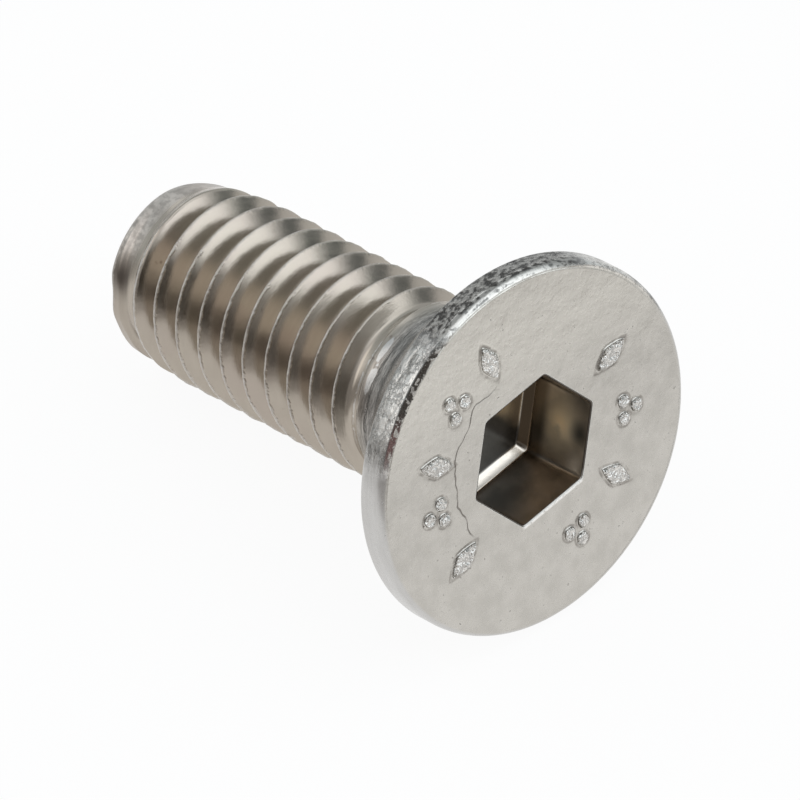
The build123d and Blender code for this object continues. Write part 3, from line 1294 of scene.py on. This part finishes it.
class ShankFinish(Finish):
    """Smooth steel with faint streaks round it and thin rough crests that are painted bright as a highlight.

    The neck is darker, with two pale patches of painted highlight and a thin line painted bright as a
    highlight on its bulge.
    The threaded end is duller, its edge is painted bright as a highlight, and its face has fine turned rings.
    """

    name: str = "rolled shank"
    streak_colours: Pair = (0.40, 0.357, 0.303), (0.43, 0.385, 0.328)
    end_colours: Pair = (0.38, 0.347, 0.315), (0.55, 0.505, 0.46)
    tint_colour: Triple = (0.4, 0.345, 0.3)
    stain_colour: Triple = (0.15, 0.1, 0.08)
    # Painted shade in a dark band across the end.
    end_shade_colour: Triple = (0.13, 0.11, 0.095)
    neck_colours: Pair = (0.17, 0.162, 0.15), (0.38, 0.36, 0.335)
    ring_colour: Triple = (0.5, 0.47, 0.44)
    # Painted highlight on the neck.
    neck_highlight_colour: Triple = (0.5, 0.49, 0.47)
    # Painted highlight on the crests, the end's edge and a thin line on the neck's bulge.
    crest_highlight_colour: Triple = (0.57, 0.54, 0.505)

    def __init__(self, place: OwnFrame, ridge_phase: float) -> None:
        """Work out where the crests, the neck and the end are, and the patterns on them.

        Args:
            place: The screw's own frame.
            ridge_phase: Place of the thread's ridge at angle 0, in turns.
        """
        super().__init__(place)
        y, z, own = self.y, self.z, self.own
        self.streaks = self.pattern((1, 1, 9), 1.1, 3, 0.6)
        self.grain = self.noise(own, 6, 3, 0.6)
        self.burr = self.noise(own, 4.5, 3, 0.6)
        self.marring = self.scratches()
        self.neck = z.step(4.75, 4.2)
        self.cone = z.step(3.75, 3.3)
        self.tip = z.step(14.9, 15.1)
        self.face = z.step(15.7, 15.74)
        self.rings = self.noise(self.vector(self.radius * 5, 0, 0), 1, 3, 0.6)
        turns = z - y.angle_from(self.x) * (1 / (2 * pi)) - ridge_phase
        from_ridge = abs((turns + 0.5).rest() - 0.5)
        crest = (from_ridge + self.burr * 0.1).step(0.112, 0.066) * (0.2 + y.step(1.2, 2.2) * 0.8)
        crest = crest * z.step(5.0, 5.3) * z.step(14.9, 14.5) * (0.5 + self.grain.step(0.38, 0.55) * 0.5)
        # The crests and the end's edge are rough, and get a painted highlight.
        self.rough = crest.larger((z + self.burr * 0.24).step(15.66, 15.74) * 0.6)

    def thread_colour(self) -> Socket:
        """Mix the thread's colour: streaked, with a browner tint, small stains and a mottled end with a dark
        band of painted shade.

        Returns:
            The colour of the thread and the end.
        """
        own = self.own
        stains = self.noise(own, 2.6, 2, 0.6).step(0.7, 0.78) * self.y.step(0.4, 1.2)
        # Where the end's dark band of painted shade lies.
        dent = self.near(self.stretch(own, (1, 1, 0.6)), (-1.1, 2.45, 9.2), 1.0)
        return self.coats(
            self.blend(self.streaks.step(0.3, 0.7), *self.streak_colours),
            (self.tip * self.x.step(-1.2, -2), self.blend(self.burr.step(0.35, 0.6), *self.end_colours)),
            (self.noise(own, 0.5, 2).step(0.45, 0.65) * 0.5, self.tint_colour),
            (stains * 0.7, self.stain_colour),
            (dent * self.tip, self.end_shade_colour),
        )

    def neck_highlight(self) -> Wire:
        """Give where the neck's painted highlight lies: two ragged patches with a thin gap between them.

        Returns:
            How strong the painted highlight is.
        """
        tall = self.stretch(self.own, (1, 1, 5))
        patch = self.near(tall, (-2.38, 1.4, 22.2), 0.66).larger(self.near(tall, (-1.76, 2.08, 21.9), 0.7))
        gap = abs(self.x + 2.12 - self.burr * 0.2).step(0.01, 0.04)
        return (patch + self.marring * 0.6).step(0.5, 0.62) * gap

    def build(self) -> bpy.types.Material:
        """Build the material.

        Returns:
            The finished material.
        """
        z = self.z
        # A thin line on the neck's bulge, painted bright as a highlight.
        painted_line_highlight = abs(z - 4.9 - self.grain * 0.1).step(0.05, 0.02) * self.grain.step(0.4, 0.55)
        colour = self.coats(
            self.thread_colour(),
            (self.neck, self.blend(self.marring.step(0.35, 0.65), *self.neck_colours)),
            (self.cone, self.blend(self.marring, *self.turned_colours)),
            (self.face * self.rings.step(0.35, 0.65), self.ring_colour),
            # Two pale patches on the neck: painted highlight.
            (self.neck_highlight(), self.neck_highlight_colour),
            # Painted highlight on the crests, the end's edge and the line on the bulge.
            (self.rough.larger(painted_line_highlight), self.crest_highlight_colour),
        )
        roughness = self.streaks.step(0.3, 0.7) * 0.04 + 0.18 + self.rough * 0.3 + self.tip * 0.19
        crease = abs(z - 4.2 - self.grain * 0.1).step(0.04, 0.01)
        swell = self.noise(self.own, 0.9, 1, 0.4) * self.y.step(0.9, 2.0) * z.step(4.9, 5.4)
        normal = self.relief(
            (self.streaks * (1 - self.tip), 3e-6),
            (swell, 3e-5),
            (self.grain, 2e-6),
            (self.marring * self.neck * (1 - self.cone * 0.75), 2.5e-5),
            (self.rings * self.face, 1e-5),
            (self.burr * self.rough, 5e-5),
            (crease * -1, 2.5e-5),
        )
        return self.finish(colour, roughness, normal)


def unit(azimuth: float, elevation: float) -> Triple:
    """Give the direction at these angles, in degrees."""
    level = cos(radians(elevation))
    return (level * cos(radians(azimuth)), level * sin(radians(azimuth)), sin(radians(elevation)))


@dataclass(frozen=True)
class Patch:
    """A round soft patch of light or dark in the world."""

    azimuth: float      # of its middle, in degrees
    elevation: float
    core: float         # radius of its even part, in degrees
    reach: float        # radius at which it ends
    colour: Triple

    def share(self, recipe: Recipe, direction: Socket) -> Wire:
        """Give how much of the patch shows in a direction."""
        nearness = recipe.along(direction, unit(self.azimuth, self.elevation))
        return nearness.step(cos(radians(self.reach)), cos(radians(self.core)))


@dataclass(frozen=True)
class Studio:
    """Floor, light and camera."""

    aim: Triple = (1.8118, -0.1019, 4.0263)     # in millimetres, as the distance is
    azimuth: float = -41.3584                   # in degrees, as every angle here is
    elevation: float = 41.3157
    roll: float = -0.099
    distance: float = 335.35
    lens: float = 526.24
    sensor: float = 36.0
    clips: Span = (0.01, 20.0)                  # in metres

    floor_radii: tuple[float, ...] = (20, 60, 150, 400, 900, 1100, 1250, 1350, 1400)
    floor_columns: int = 96
    floor_rise: float = 90.0                    # of the floor's far rim
    rise_start: float = 900.0
    floor_colour: Triple = (0.9, 0.9, 0.9)
    # Painted pool of light on the floor: greyer farther out, more so on the left.
    floor_shade_left: Triple = (0.37, 0.35, 0.335)
    floor_light_right: Triple = (0.9, 0.93, 0.95)
    sheet_sides: Span = (-0.3, 0.6)             # of the direction's share to the right
    sheet_reach: Span = (0.02, 0.05)            # in metres
    glow_share: float = 0.93
    key_strength: float = 0.5
    key_turn: float = -24.6
    key_towards: tuple[float, float] = (28.6, 29.2)
    key_size: tuple[float, float] = (0.34, 0.16)    # in metres, as its distance is
    key_distance: float = 0.5
    key_colour: Triple = (0.95, 1.0, 1.07)
    horizon: Triple = (0.37, 0.36, 0.355)
    ceiling: Triple = (0.92, 0.94, 0.98)
    right_wall: Triple = (0.64, 0.69, 0.72)
    right: Triple = (-0.706, 0.708, 0)
    ceiling_rise: Span = (0.31, 1.0)            # of the direction's share upwards
    wall_rise: Span = (-0.03, 0.18)             # of its share to the right
    patches: tuple[Patch, ...] = (
        Patch(-118, 42, 1, 34, (1.58, 1.58, 1.58)),
        Patch(1, 4, 21, 36, (0.035, 0.028, 0.02)),
        Patch(59, 9, 4, 13, (0.16, 0.185, 0.19)),
        Patch(159, 25, 7, 14, (1.1, 1.16, 1.2)),
        Patch(26, 24, 6, 31, (1.44, 1.53, 1.6)),
        Patch(43, 58, 10, 38, (1.42, 1.5, 1.57)),
        Patch(24, 49, 4.5, 8.5, (0.45, 0.48, 0.5)),
        Patch(-43, 0, 2, 6, (1.8, 1.8, 1.8)),
    )

    def build(self) -> None:
        """Build all of the studio."""
        self.lay_floor()
        self.light_world()
        self.hang_key()
        self.place_camera()

    def lay_floor(self) -> None:
        """Lay a pale floor, whose far rim rises a little to hide the horizon."""
        radius = np.array(self.floor_radii)[:, None]
        rise = self.floor_rise * smooth_step(self.rise_start, self.floor_radii[-1], radius)
        angle = 2 * pi * np.arange(self.floor_columns)[None, :] / self.floor_columns
        skin = Skin()
        rows = skin.add(turned(radius, angle, rise))
        skin.rings(rows, Region.SOCKET)
        skin.close(0, rows[0], Region.SOCKET, at_start=True)
        here = OwnFrame(np.zeros(3), np.eye(3))
        floor = bpy.data.objects.new("floor", skin.mesh("floor", here))
        bpy.context.scene.collection.objects.link(floor)
        floor.data.materials.append(self.floor_finish())

    def floor_finish(self) -> bpy.types.Material:
        """Make the floor's finish: a dull sheet that is partly plain white for what sees it directly.

        The sheet is a painted pool of light: white round the screw, greyer farther
        out, more so on the left.

        Returns:
            The floor's material.
        """
        material = bpy.data.materials.new("floor")
        material.use_nodes = True
        recipe = Recipe(material.node_tree)
        place = recipe.node("ShaderNodeTexCoord").outputs["Object"]
        distance = recipe.length(place)
        right = (recipe.along(place, self.right) / distance).step(*self.sheet_sides)
        # The floor's glow is a painted pool of light, white round the screw.
        outer = recipe.blend(right, self.floor_shade_left, self.floor_light_right)
        sheet = recipe.blend(distance.step(*self.sheet_reach), (1, 1, 1), outer)
        path = recipe.node("ShaderNodeLightPath")
        seen = recipe.number(path, "Is Camera Ray").larger(recipe.number(path, "Is Glossy Ray"))
        seen = seen.larger(recipe.number(path, "Is Transmission Ray"))
        dull = recipe.node("ShaderNodeBsdfDiffuse", {}, {"Color": colour_of(self.floor_colour)})
        glow = recipe.node("ShaderNodeEmission", {}, {"Color": sheet, "Strength": 1.0})
        inputs = {0: seen * self.glow_share, 1: dull.outputs[0], 2: glow.outputs[0]}
        mix = recipe.node("ShaderNodeMixShader", {}, inputs)
        recipe.node("ShaderNodeOutputMaterial", {}, {"Surface": mix.outputs[0]})
        return material

    def light_world(self) -> None:
        """Light the world: a dim band round the horizon, a paler ceiling, and soft round patches."""
        world = bpy.data.worlds.new("studio")
        world.use_nodes = True
        bpy.context.scene.world = world
        recipe = Recipe(world.node_tree)
        direction = recipe.node("ShaderNodeTexCoord").outputs["Generated"]
        colour = recipe.coats(
            self.horizon,
            (recipe.along(direction, (0, 0, 1)).step(*self.ceiling_rise), self.ceiling),
            (recipe.along(direction, self.right).step(*self.wall_rise), self.right_wall),
            *((patch.share(recipe, direction), patch.colour) for patch in self.patches),
        )
        background = recipe.node("ShaderNodeBackground", {}, {"Color": colour, "Strength": 1.0})
        recipe.node("ShaderNodeOutputWorld", {}, {"Surface": background.outputs[0]})

    def hang_key(self) -> None:
        """Hang a large soft lamp above and in front of the head."""
        width, height = self.key_size
        data = bpy.data.lights.new("key", "AREA")
        data.shape = "RECTANGLE"
        data.size = width
        data.size_y = height
        # A flat lamp gives off its power over pi times its area.
        data.energy = self.key_strength * pi * width * height
        data.color = self.key_colour
        towards = Vector(unit(*self.key_towards))
        lamp = bpy.data.objects.new("key", data)
        twist = Matrix.Rotation(radians(self.key_turn), 3, "Z")
        lamp.matrix_world = (towards.to_track_quat("Z", "Y").to_matrix() @ twist).to_4x4()
        lamp.location = towards * self.key_distance
        bpy.context.scene.collection.objects.link(lamp)

    def place_camera(self) -> None:
        """Place the camera at its distance from the aim point, and make it the scene's."""
        towards = Vector(unit(self.azimuth, self.elevation))
        right = Vector(unit(self.azimuth + 90, 0))
        up = towards.cross(right)
        roll = Matrix.Rotation(radians(self.roll), 3, "Z")
        turn = (Matrix((right, up, towards)).transposed() @ roll).to_4x4()
        turn.translation = (Vector(self.aim) + towards * self.distance) * METRE
        data = bpy.data.cameras.new("camera")
        data.lens = self.lens
        data.sensor_width = self.sensor
        data.clip_start, data.clip_end = self.clips
        camera = bpy.data.objects.new("camera", data)
        camera.matrix_world = turn
        bpy.context.scene.collection.objects.link(camera)
        bpy.context.scene.camera = camera


def main() -> None:
    """Build the screw and its studio."""
    place = OwnFrame.from_record(frame["record"])
    thread = Thread()
    skin = Skin()
    neck = Head(thread).build(skin)
    last = thread.build(skin, neck)
    End(thread).build(skin, last)
    screw = bpy.data.objects.new("screw", skin.mesh("screw", place))
    bpy.context.scene.collection.objects.link(screw)
    for finish in (SocketFinish(place), HeadFinish(place), ShankFinish(place, thread.ridge_phase)):
        screw.data.materials.append(finish.build())
    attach(screw, "root")
    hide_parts("socket_screw")
    LOG.info("screw: %d triangles", len(screw.data.polygons))
    Studio().build()
    bpy.context.scene.view_settings.view_transform = "Standard"


if __name__ == "__main__":
    main()
